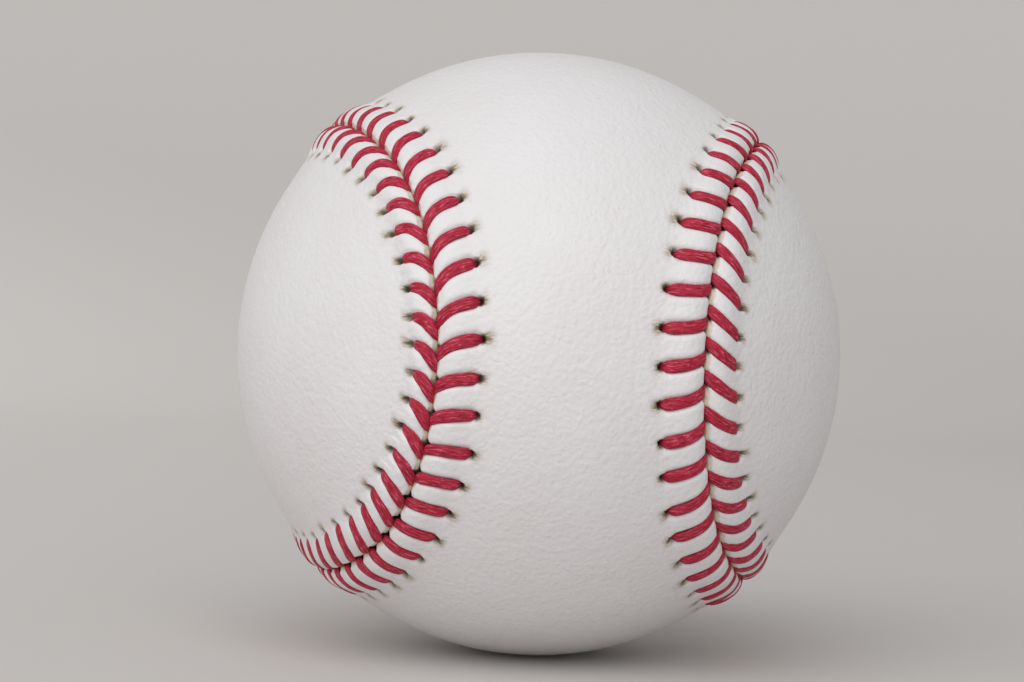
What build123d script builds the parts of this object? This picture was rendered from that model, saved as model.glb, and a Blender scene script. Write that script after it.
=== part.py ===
from build123d import *
import os
from math import asin, cos, degrees, pi, radians, sin, sqrt

# A sewn leather ball: a cushioned cork centre, four windings of yarn, and two
# figure-eight leather panels sewn together with one red thread.
# The origin is the ball's centre. The front panel's waist faces -Y and its two lobes
# fold back over +Z and -Z; the back panel's waist faces +Y and its lobes lie on +X and -X.

# Ball, measured over the smooth leather
ball_diameter = 74.0

# Leather cover: how thick it is, and how its sewn edges rise to meet at the seam
cover_thickness = 1.2
lip_rise = 0.4
lip_width = 8.5
hole_rise_share = 0.55

# Seam line: width of a panel's waist, and the round end of each lobe
waist_width = 29.5
lobe_radius = 25.0
lobe_half_sweep = 65.5

# Stitching: where the holes are, how far a front stitch leans along the seam, and how far
# behind it the back stitch goes down
stitch_count = 108
stitch_start = 0.75
hole_distance = 4.7
front_lean = 1.5
back_hole_lead = 0.9
back_dive_lag = 1.57

# Hand sewing drifts once to and fro on its way round the ball; this is how far either way
hole_drift = 0.7
lean_drift = 0.67
lead_drift = 0.9
drift_start_share = 0.61

# Thread: its centre line rides this far over the leather, in a groove of its own
thread_diameter = 1.0
thread_clearance = 0.1
thread_ride = 0.1
thread_bend_share = 0.7
thread_tail = 2.5

# Windings, from the outside in; the first one fills the room down to the cushioned centre
finishing_thickness = 0.45
third_thickness = 2.2
second_thickness = 1.75

# Cushioned centre
cork_diameter = 20.6
inner_rubber_thickness = 4.0
outer_rubber_thickness = 2.4
gasket_thickness = 0.9

# Room left between one layer and the next, and how far a cut runs past what it cuts
layer_clearance = 0.05
cut_overrun = 2.0

# Radii worked out from the sizes above
ball_radius = ball_diameter / 2
thread_radius = thread_diameter / 2
thread_bend = thread_diameter * thread_bend_share
thread_room = thread_radius + thread_clearance
cover_inside = ball_radius - cover_thickness

finishing_outside = cover_inside - layer_clearance
finishing_inside = finishing_outside - finishing_thickness
third_outside = finishing_inside - layer_clearance
third_inside = third_outside - third_thickness
second_outside = third_inside - layer_clearance
second_inside = second_outside - second_thickness
first_outside = second_inside - layer_clearance

cork_radius = cork_diameter / 2
inner_rubber_inside = cork_radius + layer_clearance
inner_rubber_outside = inner_rubber_inside + inner_rubber_thickness
outer_rubber_inside = inner_rubber_outside + layer_clearance
outer_rubber_outside = outer_rubber_inside + outer_rubber_thickness
first_inside = outer_rubber_outside + layer_clearance

# Places across the seam, in the leather and in the yarn that is pressed in under it
nose_radius = cover_thickness / 2
lip_crest = thread_room + nose_radius
hole_rise = lip_rise * hole_rise_share
under_depth = cover_thickness + thread_room
channel_floor = cover_inside + hole_rise - 2 * thread_room
channel_half_width = hole_distance + 2 * thread_room

os.makedirs("parts", exist_ok=True)


# Seam line
# A quarter of the seam is the round end of a lobe with a shoulder on each side, all arcs
# that lie on the ball. Each shoulder ends at the turning point between two lobes.
waist_angle = asin(waist_width / 2 / ball_radius)
lobe_angle = asin(lobe_radius / ball_radius)
lobe_tilt = waist_angle + lobe_angle
lobe_middle = Vector(sin(lobe_tilt), -cos(lobe_tilt), 0)
lobe_front = Vector(-cos(lobe_tilt), -sin(lobe_tilt), 0)
upward = Vector(0, 0, 1)
turning_point = Vector(1, 0, 1).normalized() * ball_radius


def lobe_point(sweep):
    """Point on a lobe's round end, swept in degrees from the point nearest the waist."""
    angle = radians(sweep)
    ring = lobe_front * cos(angle) + upward * sin(angle)
    return (lobe_middle * cos(lobe_angle) + ring * sin(lobe_angle)) * ball_radius


def mirrored(point):
    """The same point of the lower half of a lobe."""
    return Vector(point.X, point.Y, -point.Z)


def next_quarter(point):
    """A quarter of the seam becomes the next: turned about Y, and swapped front to back."""
    return Vector(-point.Z, -point.Y, point.X)


lobe_arc = ThreePointArc(
    lobe_point(-lobe_half_sweep), lobe_point(0), lobe_point(lobe_half_sweep), mode=Mode.PRIVATE
)
shoulder_arc = TangentArc(lobe_arc @ 1, turning_point, tangent=lobe_arc % 1, mode=Mode.PRIVATE)
upper_points = [lobe_arc @ 1, shoulder_arc @ 0.5, turning_point]
lower_points = [mirrored(point) for point in reversed(upper_points)]
quarter_points = lower_points + [lobe_arc @ 0.5] + upper_points

with BuildLine() as seam:
    for quarter in range(4):
        for first in range(0, len(quarter_points) - 1, 2):
            ThreePointArc(quarter_points[first : first + 3])
        quarter_points = [next_quarter(point) for point in quarter_points]

seam_line = seam.wire()
stitch_pitch = seam_line.length / stitch_count


def seam_point(along, across, height):
    """Point by distance along the seam, distance across it, and height over the leather.

    Across is positive on the front panel's side.
    """
    share = (along / seam_line.length) % 1
    outward = seam_line.position_at(share).normalized()
    towards_front = outward.cross(seam_line.tangent_at(share))
    angle = across / ball_radius
    return (outward * cos(angle) + towards_front * sin(angle)) * (ball_radius + height)


def profile_point(height, across):
    """Point of a seam profile: X is outward at the seam, Y across it, height over the leather."""
    return (sqrt((ball_radius + height) ** 2 - across**2), across)


def carried_along_seam(profile):
    """Solid of a profile carried round the seam, turned about the axis of each arc in it."""
    with BuildPart() as carried:
        for arc in seam_line.edges():
            outward = (arc @ 0).normalized()
            axis_way = arc.arc_center.normalized()
            turn = 1 if axis_way.cross(outward).dot(arc % 0) > 0 else -1
            with BuildSketch(Plane(origin=(0, 0, 0), x_dir=outward, z_dir=-(arc % 0))):
                add(profile)
            revolve(axis=Axis((0, 0, 0), axis_way * turn), revolution_arc=degrees(arc.length / arc.radius))
    return carried.part


def seam_strip(half_width):
    """Profile of a strip along the seam that runs out past both faces of the cover."""
    depth = cover_thickness + 2 * cut_overrun
    with BuildSketch() as strip:
        with Locations((cover_inside - cut_overrun, 0)):
            Rectangle(depth, 2 * half_width, align=(Align.MIN, Align.CENTER))
    return strip.sketch


def channel_profile(surface, floor):
    """Profile of the shallow valley that the sewn edges press into a winding."""
    floor_end = Vector(sqrt(floor**2 - channel_half_width**2), channel_half_width)
    rim = Vector(sqrt(surface**2 - lip_width**2), lip_width)
    beyond = rim + (rim - floor_end).normalized() * cut_overrun
    one_side = [floor_end, beyond, Vector(surface + cut_overrun, beyond.Y)]
    other_side = [Vector(point.X, -point.Y) for point in reversed(one_side)]
    with BuildSketch() as channel:
        with BuildLine():
            Polyline((floor, 0), *one_side, *other_side, close=True)
        make_face()
    return channel.sketch


def lip_profile(side):
    """Profile of one sewn edge: the leather rises past its holes to a rounded, cut edge."""
    places = (lip_width, hole_distance, lip_crest)
    rises = (0, hole_rise, lip_rise)
    upper = [profile_point(rise, side * place) for rise, place in zip(rises, places)]
    lower = [profile_point(rise - cover_thickness, side * place) for rise, place in zip(rises, places)]
    with BuildSketch() as lip:
        with BuildLine():
            top = Spline(*upper, tangents=[level_way(upper[0], side), level_way(upper[-1], side)])
            bottom = Spline(*lower, tangents=[level_way(lower[0], side), level_way(lower[-1], side)])
            nose = profile_point(lip_rise - nose_radius, side * thread_room)
            ThreePointArc(top @ 1, nose, bottom @ 1)
            Line(bottom @ 0, top @ 0)
        make_face()
    return lip.sketch


def level_way(point, side):
    """Direction in a seam profile that is level with the ball at a point and heads for the seam."""
    return (side * point[1], -side * point[0])


# Stitches
# A stitch comes up through a hole, leans over its own sewn edge to the seam, and goes down
# between the two edges, to come up through the next hole of the other panel.
def stitch_corners(number, side):
    """The four corners of a stitch: below its hole, above it, and above and below the seam."""
    drift = cos(2 * pi * (number / stitch_count - drift_start_share))
    hole = stitch_start + number * stitch_pitch - hole_drift * drift
    dive = hole + front_lean + lean_drift * drift
    if side < 0:
        hole += back_hole_lead + lead_drift * drift
        dive += back_dive_lag
    return [
        seam_point(hole, side * hole_distance, hole_rise - under_depth),
        seam_point(hole, side * hole_distance, hole_rise + thread_ride),
        seam_point(dive, 0, lip_rise + thread_ride),
        seam_point(dive, 0, lip_rise - under_depth),
    ]


front_stitches = [stitch_corners(number, 1) for number in range(stitch_count)]
back_stitches = [stitch_corners(number, -1) for number in range(stitch_count)]


def thread_bore(start, end):
    """Round bar that clears the thread on its way from one point to another."""
    with BuildPart(Plane(origin=start, z_dir=end - start)) as bore:
        Cylinder(thread_room, (end - start).length, align=(Align.CENTER, Align.CENTER, Align.MIN))
    return bore.part


def stitch_cuts(stitches):
    """Room for one panel's stitches: a hole through the leather, and a groove over the sewn edge."""
    cuts = []
    for below, above, seam_top, _ in stitches:
        overrun = (above - below).normalized() * cut_overrun
        cuts.append(thread_bore(below - overrun, above + overrun))
        cuts.append(thread_bore(above, seam_top))
    return cuts


# Leather between the seams, as two separate fields
with BuildPart() as cover_fields:
    Sphere(ball_radius)
    Sphere(cover_inside, mode=Mode.SUBTRACT)
    add(carried_along_seam(seam_strip(lip_width)), mode=Mode.SUBTRACT)

front_field, back_field = cover_fields.solids().sort_by(Axis.Y)

with BuildPart() as front_cover_panel:
    add(front_field)
    add(carried_along_seam(lip_profile(1)))
    add(stitch_cuts(front_stitches), mode=Mode.SUBTRACT)

with BuildPart() as back_cover_panel:
    add(back_field)
    add(carried_along_seam(lip_profile(-1)))
    add(stitch_cuts(back_stitches), mode=Mode.SUBTRACT)


# Thread
# One thread, sewn from its middle with a needle at each end. Each needle changes panel at
# every stitch, and both tails end under the leather where the seam closes.
def needle_run(even_stitches, odd_stitches):
    """Stitches of one needle, once round the ball."""
    return [(odd_stitches if number % 2 else even_stitches)[number] for number in range(stitch_count)]


def halfway(start, end):
    """Point halfway between two others."""
    return (start + end) / 2


def tail_end(stitch, side):
    """End of a tail, square to the seam under the panel that the next stitch would have used."""
    dive = stitch[-1]
    outward = dive.normalized()
    share = seam_line.param_at_point(outward * ball_radius)
    towards_front = outward.cross(seam_line.tangent_at(share))
    return dive + towards_front * side * thread_tail


first_run = needle_run(front_stitches, back_stitches)
second_run = needle_run(back_stitches, front_stitches)
middle = [halfway(back_stitches[-1][-1], front_stitches[0][-1])]
bends = [stitch[::-1] for stitch in first_run[::-1]] + [middle] + second_run
joints = [halfway(bends[place][-1], bends[place + 1][0]) for place in range(len(bends) - 1)]
joints = [tail_end(back_stitches[-1], 1)] + joints + [tail_end(front_stitches[-1], -1)]

thread_edges = []
for place, corners in enumerate(bends):
    with BuildLine() as stretch:
        FilletPolyline(joints[place], *corners, joints[place + 1], radius=thread_bend)
    thread_edges.extend(stretch.edges())
thread_route = Wire(thread_edges)

with BuildPart() as seam_thread:
    with BuildSketch(Plane(origin=thread_route @ 0, z_dir=thread_route % 0)):
        Circle(thread_radius)
    sweep(path=thread_route)

thread_volume = pi * thread_radius**2 * thread_route.length
print(f"thread length {thread_route.length:.0f} mm, volume {seam_thread.part.volume:.2f} of {thread_volume:.2f}")


# Windings, each a shell of yarn round the one before; the two outer ones are pressed in by the seam
def dented_ball(radius, floor):
    """Solid ball, pressed in along the seam down to a floor."""
    with BuildPart() as ball:
        Sphere(radius)
        add(carried_along_seam(channel_profile(radius, floor)), mode=Mode.SUBTRACT)
    return ball.part


finishing_floor = channel_floor - layer_clearance
with BuildPart() as finishing_winding:
    add(dented_ball(finishing_outside, finishing_floor))
    add(dented_ball(finishing_inside, finishing_floor - finishing_thickness), mode=Mode.SUBTRACT)

with BuildPart() as third_winding:
    add(dented_ball(third_outside, finishing_floor - finishing_thickness - layer_clearance))
    Sphere(third_inside, mode=Mode.SUBTRACT)

with BuildPart() as second_winding:
    Sphere(second_outside)
    Sphere(second_inside, mode=Mode.SUBTRACT)

with BuildPart() as first_winding:
    Sphere(first_outside)
    Sphere(first_inside, mode=Mode.SUBTRACT)

# Cushioned centre: a cork ball in two rubber cups with a gasket between, in a rubber skin
with BuildPart() as outer_rubber_layer:
    Sphere(outer_rubber_outside)
    Sphere(outer_rubber_inside, mode=Mode.SUBTRACT)

cup_edge = gasket_thickness / 2 + layer_clearance


def rubber_cup(side):
    """One rubber cup, open towards the gasket, above it or below it."""
    with BuildPart() as cup:
        Sphere(inner_rubber_outside)
        Sphere(inner_rubber_inside, mode=Mode.SUBTRACT)
        split(bisect_by=Plane.XY.offset(side * cup_edge), keep=Keep.TOP if side > 0 else Keep.BOTTOM)
    return cup


upper_rubber_cup = rubber_cup(1)
lower_rubber_cup = rubber_cup(-1)

with BuildPart() as rubber_gasket:
    with BuildSketch(Plane.XY.offset(-gasket_thickness / 2)):
        Circle(inner_rubber_outside)
        Circle(inner_rubber_inside, mode=Mode.SUBTRACT)
    extrude(amount=gasket_thickness)
    Sphere(inner_rubber_outside, mode=Mode.INTERSECT)

with BuildPart() as cork_core:
    Sphere(cork_radius)

front_cover_panel.part.label = "front_cover_panel"
export_step(front_cover_panel.part, "parts/front_cover_panel.step")
back_cover_panel.part.label = "back_cover_panel"
export_step(back_cover_panel.part, "parts/back_cover_panel.step")
seam_thread.part.label = "seam_thread"
export_step(seam_thread.part, "parts/seam_thread.step")
finishing_winding.part.label = "finishing_winding"
export_step(finishing_winding.part, "parts/finishing_winding.step")
third_winding.part.label = "third_winding"
export_step(third_winding.part, "parts/third_winding.step")
second_winding.part.label = "second_winding"
export_step(second_winding.part, "parts/second_winding.step")
first_winding.part.label = "first_winding"
export_step(first_winding.part, "parts/first_winding.step")
outer_rubber_layer.part.label = "outer_rubber_layer"
export_step(outer_rubber_layer.part, "parts/outer_rubber_layer.step")
upper_rubber_cup.part.label = "upper_rubber_cup"
export_step(upper_rubber_cup.part, "parts/upper_rubber_cup.step")
lower_rubber_cup.part.label = "lower_rubber_cup"
export_step(lower_rubber_cup.part, "parts/lower_rubber_cup.step")
rubber_gasket.part.label = "rubber_gasket"
export_step(rubber_gasket.part, "parts/rubber_gasket.step")
cork_core.part.label = "cork_core"
export_step(cork_core.part, "parts/cork_core.step")
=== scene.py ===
"""Looks of a sewn leather baseball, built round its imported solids.

Two figure-eight panels of white leather meet in one long seam. Everything on the ball is placed
by distance along that seam, distance across it, and height over the leather.
"""

import math
from types import SimpleNamespace

import bpy
import numpy as np
from mathutils import Matrix, Vector


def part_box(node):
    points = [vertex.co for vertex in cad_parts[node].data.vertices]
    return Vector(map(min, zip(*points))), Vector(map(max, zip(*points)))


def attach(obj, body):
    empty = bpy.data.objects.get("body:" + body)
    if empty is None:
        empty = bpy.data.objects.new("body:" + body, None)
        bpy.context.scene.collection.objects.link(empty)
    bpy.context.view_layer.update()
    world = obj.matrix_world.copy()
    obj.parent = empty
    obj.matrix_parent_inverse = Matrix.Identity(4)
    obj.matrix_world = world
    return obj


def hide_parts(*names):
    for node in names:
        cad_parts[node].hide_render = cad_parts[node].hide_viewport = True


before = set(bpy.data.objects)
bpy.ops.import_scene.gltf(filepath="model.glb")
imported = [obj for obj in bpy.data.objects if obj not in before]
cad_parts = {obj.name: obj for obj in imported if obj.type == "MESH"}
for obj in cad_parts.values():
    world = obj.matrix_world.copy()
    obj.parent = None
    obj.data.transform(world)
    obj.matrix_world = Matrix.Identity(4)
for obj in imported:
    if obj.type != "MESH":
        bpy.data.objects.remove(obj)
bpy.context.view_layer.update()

bl_info = {
    "name": "Sewn Baseball",
    "version": (1, 0, 0),
    "blender": (4, 5, 0),
    "location": "View3D > Sidebar > Baseball",
    "description": "Builds the leather, thread and windings of a baseball round its solids",
    "category": "Object",
}

MM = 0.001
TURN = 2 * math.pi


# Colours and nodes
# A Mix node's colour sockets, by number because its other kinds share their names
COLOUR_MIX = {"data_type": "RGBA"}
COLOUR_A, COLOUR_B, MIXED = 6, 7, 2


def linear(code):
    """Linear colour of an sRGB hex value."""
    parts = [int(code[place : place + 2], 16) / 255 for place in (1, 3, 5)]
    return tuple(p / 12.92 if p <= 0.04045 else ((p + 0.055) / 1.055) ** 2.4 for p in parts)


def opaque(colour, share=1.0, added=0.0):
    """Colour made lighter or darker, with full alpha, as a colour socket takes it."""
    return (*(min(1, part * share + added) for part in colour), 1.0)


def add_node(tree, kind, settings=None, sockets=None):
    """Add a node, with its settings, and its sockets given as values or as outputs to link."""
    node = tree.nodes.new(kind)
    for name, value in (settings or {}).items():
        setattr(node, name, value)
    for name, value in (sockets or {}).items():
        if isinstance(value, bpy.types.NodeSocket):
            tree.links.new(value, node.inputs[name])
        else:
            node.inputs[name].default_value = value
    return node


def new_material(name):
    """Empty node material and its tree."""
    material = bpy.data.materials.new(name)
    material.use_nodes = True
    material.node_tree.nodes.clear()
    return material, material.node_tree


# Sizes and colours that a user would change
def length_property(name, description, size):
    """Length, from its size in mm."""
    return bpy.props.FloatProperty(
        name=name, description=description, default=size * MM, unit="LENGTH"
    )


def share_property(name, description, share):
    """Share of a whole."""
    return bpy.props.FloatProperty(
        name=name, description=description, default=share, subtype="FACTOR"
    )


def colour_property(name, description, code):
    """Colour, from its sRGB hex value."""
    return bpy.props.FloatVectorProperty(
        name=name, description=description, size=3, subtype="COLOR", default=linear(code)
    )


class BaseballSeam(bpy.types.PropertyGroup):
    """The seam line and the sewn edges beside it."""

    ball_diameter: length_property("Ball diameter", "Over the bare leather", 74)
    waist_width: length_property("Waist width", "Of a panel between its two lobes", 29.5)
    lobe_radius: length_property("Lobe radius", "Of the round end of a lobe", 25)
    lobe_half_sweep: bpy.props.FloatProperty(
        name="Lobe half sweep", description="Of the round end of a lobe",
        default=math.radians(65.5), subtype="ANGLE"
    )
    cover_thickness: length_property("Cover thickness", "Of the leather", 1.2)
    lip_rise: length_property("Lip rise", "Of the sewn edges over the ball", 0.4)
    lip_width: length_property("Lip width", "From the seam to where the leather lies level", 8.5)


class BaseballStitching(bpy.types.PropertyGroup):
    """Where the holes are and how the thread runs between them."""

    stitch_count: bpy.props.IntProperty(
        name="Stitches", description="On each panel", default=108, min=8
    )
    stitch_start: length_property("First hole", "Mean place of the first front hole", 0.75)
    hole_distance: length_property("Hole distance", "From the seam to a row of holes", 4.7)
    front_lean: length_property("Front lean", "Of a front stitch along the seam", 1.5)
    back_hole_lead: length_property("Back hole lead", "Of a back hole ahead of its front one", 0.9)
    back_dive_lag: length_property(
        "Back dive lag", "From where a front stitch goes down to where the back one does", 1.57
    )
    hole_drift: length_property("Hole drift", "Of the front holes, once round the ball", 0.7)
    lean_drift: length_property("Lean drift", "Of the front lean, once round the ball", 0.67)
    lead_drift: length_property("Lead drift", "Of the back holes' lead, once round the ball", 0.9)
    drift_start_share: share_property(
        "Drift start", "Share of the seam at which the drift is greatest", 0.61
    )
    back_hole_dip: length_property(
        "Back hole dip", "How much nearer the seam the back holes come on one stretch", 1.5
    )
    dip_share: share_property(
        "Dip place", "Share of the seam at which the back holes come nearest", 0.62
    )
    thread_half_width: length_property(
        "Thread half width", "Of a stitch pulled flat over the leather", 0.71
    )
    thread_half_height: length_property(
        "Thread half height", "Of a stitch pulled flat over the leather", 0.33
    )
    unevenness: length_property(
        "Unevenness", "Of hand-punched holes and hand-pulled thread", 0.1
    )
    width_unevenness: share_property(
        "Width unevenness", "Share by which the thread is wider or narrower here and there", 0.1
    )


class BaseballColours(bpy.types.PropertyGroup):
    """Colours of the finishes."""

    leather: colour_property("Leather", "White alum-tanned leather", "#EAE8E9")
    thread: colour_property("Thread", "Red waxed cotton", "#B11333")
    backdrop: colour_property("Backdrop", "Pale grey paper", "#C5C2BF")


# Seam
# A quarter turn about Y that swaps front and back, and carries a quarter of the seam to the next
QUARTER_STEP = np.array([[0, 0, -1], [0, -1, 0], [1, 0, 0]])


def seam_shape(sizes):
    """The seam's arcs, worked out from its named sizes.

    A quarter of the seam is the round end of a lobe with a shoulder on each side. The lobe is a
    circle on the ball about the lobe's middle. The shoulder is the circle on the ball that leaves
    the lobe's end without a corner and reaches the turning point between two lobes.
    """
    radius = sizes.ball_diameter / 2
    lobe_angle = math.asin(sizes.lobe_radius / radius)
    tilt = math.asin(sizes.waist_width / 2 / radius) + lobe_angle
    middle = np.array([math.sin(tilt), -math.cos(tilt), 0])
    front = np.array([-math.cos(tilt), -math.sin(tilt), 0])
    upward = np.array([0.0, 0, 1])
    sweep = sizes.lobe_half_sweep
    end_side = math.cos(sweep) * front + math.sin(sweep) * upward
    lobe_end = math.cos(lobe_angle) * middle + math.sin(lobe_angle) * end_side
    end_way = math.cos(sweep) * upward - math.sin(sweep) * front
    turning = np.array([1.0, 0, 1]) / math.sqrt(2)
    axis = np.cross(end_way, turning - lobe_end)
    axis /= np.linalg.norm(axis)
    axis *= np.sign(np.cross(axis, lobe_end) @ end_way)
    spoke = lobe_end - axis * (axis @ lobe_end)
    last_spoke = turning - axis * (axis @ turning)
    shoulder_radius = np.linalg.norm(spoke)
    shoulder_sweep = math.acos(spoke @ last_spoke / shoulder_radius**2)
    lobe_half = radius * math.sin(lobe_angle) * sweep
    shoulder_length = radius * shoulder_radius * shoulder_sweep
    return SimpleNamespace(
        radius=radius, length=8 * (lobe_half + shoulder_length),
        lobe_angle=lobe_angle, lobe_half=lobe_half, middle=middle, front=front, upward=upward,
        hub=axis * (axis @ lobe_end), spoke=spoke, side_spoke=np.cross(axis, spoke),
        shoulder_radius=shoulder_radius, lip_rise=sizes.lip_rise, lip_width=sizes.lip_width,
        thickness=sizes.cover_thickness,
    )


def seam_ways(seam, along):
    """Unit vectors outward, along the seam and towards the front panel, at distances along it.

    Half a quarter is worked out, mirrored for the other half, and carried to the other quarters.
    """
    quarter_length = seam.length / 4
    along = np.mod(along, seam.length)
    quarter = np.minimum((along / quarter_length).astype(int), 3)
    from_apex = along - quarter * quarter_length - quarter_length / 2
    distance = np.abs(from_apex)[..., None]
    lobe_turn = distance / (seam.radius * math.sin(seam.lobe_angle))
    ring = np.cos(lobe_turn) * seam.front + np.sin(lobe_turn) * seam.upward
    lobe = math.cos(seam.lobe_angle) * seam.middle + math.sin(seam.lobe_angle) * ring
    lobe_way = np.cos(lobe_turn) * seam.upward - np.sin(lobe_turn) * seam.front
    turn = (distance - seam.lobe_half) / (seam.radius * seam.shoulder_radius)
    shoulder = seam.hub + np.cos(turn) * seam.spoke + np.sin(turn) * seam.side_spoke
    shoulder_way = np.cos(turn) * seam.side_spoke - np.sin(turn) * seam.spoke
    on_lobe = distance <= seam.lobe_half
    outward = np.where(on_lobe, lobe, shoulder)
    way = np.where(on_lobe, lobe_way, shoulder_way / seam.shoulder_radius)
    lower = (from_apex < 0)[..., None]
    outward = np.where(lower, outward * [1, 1, -1], outward)
    way = np.where(lower, way * [-1, -1, 1], way)
    turns = np.array([np.linalg.matrix_power(QUARTER_STEP, number) for number in range(4)])
    outward = np.einsum("...ij,...j->...i", turns[quarter], outward)
    way = np.einsum("...ij,...j->...i", turns[quarter], way)
    return outward, way, np.cross(outward, way)


def seam_points(seam, along, across, height):
    """Points by distance along the seam, distance across it (front positive) and height."""
    outward, _, front = seam_ways(seam, along)
    angle = (np.asarray(across) / seam.radius)[..., None]
    reach = (seam.radius + np.asarray(height))[..., None]
    return (np.cos(angle) * outward + np.sin(angle) * front) * reach


def shorter_way(seam, distance):
    """Signed distance along the closed seam, the shorter way round."""
    return np.mod(distance + seam.length / 2, seam.length) - seam.length / 2


# Stitches
# Sewn by hand, the rows stray from an even pitch. At each of these stitches, how far in mm the
# front and back holes and the places where the thread goes down are along the seam from where they
# should be, and the holes away from it; the strays between them change evenly
STRAY_STITCHES = (4, 12, 20, 58, 65, 70, 75)
STRAYS = {
    "front_hole": (-0.3, -0.1, 0.2, 1.0, 0.3, 0.25, -0.5),
    "front_dive": (-0.5, 0.1, 0.0, 0.0, 0.0, -1.05, -2.2),
    "front_away": (0.8, 0.75, -0.4, -0.2, 0.1, 0.35, 0.0),
    "back_hole": (-2.4, -0.3, 1.6, -1.0, -0.4, -1.9, -3.1),
    "back_dive": (-1.2, -0.1, -0.1, -0.3, -0.4, -1.9, -3.0),
    "back_away": (0.0, 0.0, -0.5, -0.7, -0.4, -0.45, 0.0),
}
# Seeds of the two rows' unevenness
FRONT_SEED, BACK_SEED = 11, 23
# Share of the seam over which the back holes' dip fades
DIP_REACH = 0.045
# Strength of the painted shade in the palest hole of each row
FRONT_HOLE_SHADE, BACK_HOLE_SHADE = 0.85, 0.3
# How much a stitch bends on its way, and how that drifts on the back
FRONT_BEND, BACK_BEND, BACK_BEND_DRIFT = 0.6, 0.4, 0.2
# The thread goes down more evenly than the holes are punched
DIVE_UNEVENNESS = 0.7
# The thread leaves its hole at the side nearer the seam
THREAD_INSET = 0.4 * MM
# Share of the way to the seam at which a stitch has made its whole lean
LEAN_END = 0.9


def stitch_places(seam, sewing, side):
    """Where each stitch of a panel has its hole, and where it goes down in the seam.

    Both are distances along the seam, and they drift once to and fro on the way round the ball,
    with the strays of the rows and a little seeded unevenness on top.
    """
    count = sewing.stitch_count
    number = np.arange(count)
    chance = np.random.default_rng(FRONT_SEED if side > 0 else BACK_SEED)
    most = 2 * sewing.unevenness
    uneven = chance.normal(0, sewing.unevenness, (3, count)).clip(-most, most)
    drift = np.cos(TURN * (number / count - sewing.drift_start_share))
    hole = sewing.stitch_start + number * seam.length / count - sewing.hole_drift * drift
    dive = hole + sewing.front_lean + sewing.lean_drift * drift
    distance = np.full(count, sewing.hole_distance)
    row, hole_shade, bend = "front", FRONT_HOLE_SHADE, np.full(count, FRONT_BEND)
    if side < 0:
        row, hole_shade, bend = "back", BACK_HOLE_SHADE, BACK_BEND + BACK_BEND_DRIFT * drift
        hole = hole + sewing.back_hole_lead + sewing.lead_drift * drift
        dive = dive + sewing.back_dive_lag
        from_dip = (number / count - sewing.dip_share) / DIP_REACH
        distance -= sewing.back_hole_dip * np.exp(-(from_dip**2))
    stray = {
        kind: np.interp(number, STRAY_STITCHES, STRAYS[f"{row}_{kind}"], period=count) * MM
        for kind in ("hole", "dive", "away")
    }
    return SimpleNamespace(
        hole_shade=hole_shade,
        bend=bend,
        hole=hole + stray["hole"] + uneven[0],
        dive=dive + stray["dive"] + DIVE_UNEVENNESS * uneven[1],
        distance=distance + stray["away"] + uneven[2],
        lift=chance.uniform(-1, 1, count),
        mark=chance.uniform(0, 1, (2, count)),
    )


def nearest_stitch(seam, along, places):
    """Signed distance from points along the seam to the nearest of some places, and its number."""
    count = len(places)
    guess = np.round((along - places[0]) * count / seam.length).astype(int)
    best = np.full(np.shape(along), np.inf)
    number = np.zeros(np.shape(along), int)
    for step in (-2, -1, 0, 1, 2):
        trial = (guess + step) % count
        gap = shorter_way(seam, along - places[trial])
        closer = np.abs(gap) < np.abs(best)
        best, number = np.where(closer, gap, best), np.where(closer, trial, number)
    return best, number


def leg_share(share, bend):
    """Share of a stitch's lean that it has made, when it has gone a share of the way to the seam.

    It starts almost straight across and turns along the seam near its end, the more so the more
    it is bent: a straight line and a fourth power, mixed.
    """
    share = np.clip(share / LEAN_END, 0, 1)
    return (1 - bend) * share + bend * share**4


# Meshes
# Points nearer than this are one
WELD_GAP = 0.002 * MM


def smooth_step(low, high, value):
    """Rise from 0 to 1 between two values, level at both ends."""
    share = np.clip((value - low) / (high - low), 0, 1)
    return share * share * (3 - 2 * share)


def unit(vectors):
    """Rows of vectors made one long."""
    return vectors / np.linalg.norm(vectors, axis=1, keepdims=True)


def grid_quads(rows, columns, close_rows=False, start=0):
    """Quads of a grid whose columns close on themselves, and whose rows may too."""
    row = np.arange(rows if close_rows else rows - 1)[:, None]
    column = np.arange(columns)[None, :]
    here, after = row * columns, (row + 1) % rows * columns
    beside = (column + 1) % columns
    corners = [here + column, here + beside, after + beside, after + column]
    return np.stack(corners, -1).reshape(-1, 4) + start


def as_triangles(quads):
    """Two triangles for each quad."""
    return np.concatenate([quads[:, [0, 1, 2]], quads[:, [0, 2, 3]]])


def fan_triangles(fine_start, fine, coarse_start, coarse):
    """Triangles between a fine ring and a coarse one that run the same way round."""
    share = fine // coarse
    part, whole = np.arange(fine), np.arange(coarse)
    nearest = (part + share // 2) // share % coarse
    fine_side = np.stack([part, (part + 1) % fine, nearest], -1)
    middle = whole * share + share - share // 2
    coarse_side = np.stack([middle % fine, (whole + 1) % coarse, whole], -1)
    return np.concatenate([
        fine_side + [fine_start, fine_start, coarse_start],
        coarse_side + [fine_start, coarse_start, coarse_start],
    ])


def closed_tube(centre, wide, high, out, up):
    """Points and quads of a tube that closes on itself.

    A profile, given by how far out and up its corners are, is carried along the centre line, and
    each ring has its own half width and half height as vectors.
    """
    profile = out[None, :, None] * wide[:, None] + up[None, :, None] * high[:, None]
    points = (centre[:, None] + profile).reshape(-1, 3)
    return points, grid_quads(len(centre), len(out), close_rows=True)


def welded(points, triangles):
    """Points that fall together made one, and triangles that this closes up left out."""
    cells = np.round(points / WELD_GAP).astype(np.int64)
    _, first, place = np.unique(cells, axis=0, return_index=True, return_inverse=True)
    triangles = place.reshape(-1)[triangles]
    kept = (triangles != np.roll(triangles, 1, 1)).all(1)
    return points[first], triangles[kept], first


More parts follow.
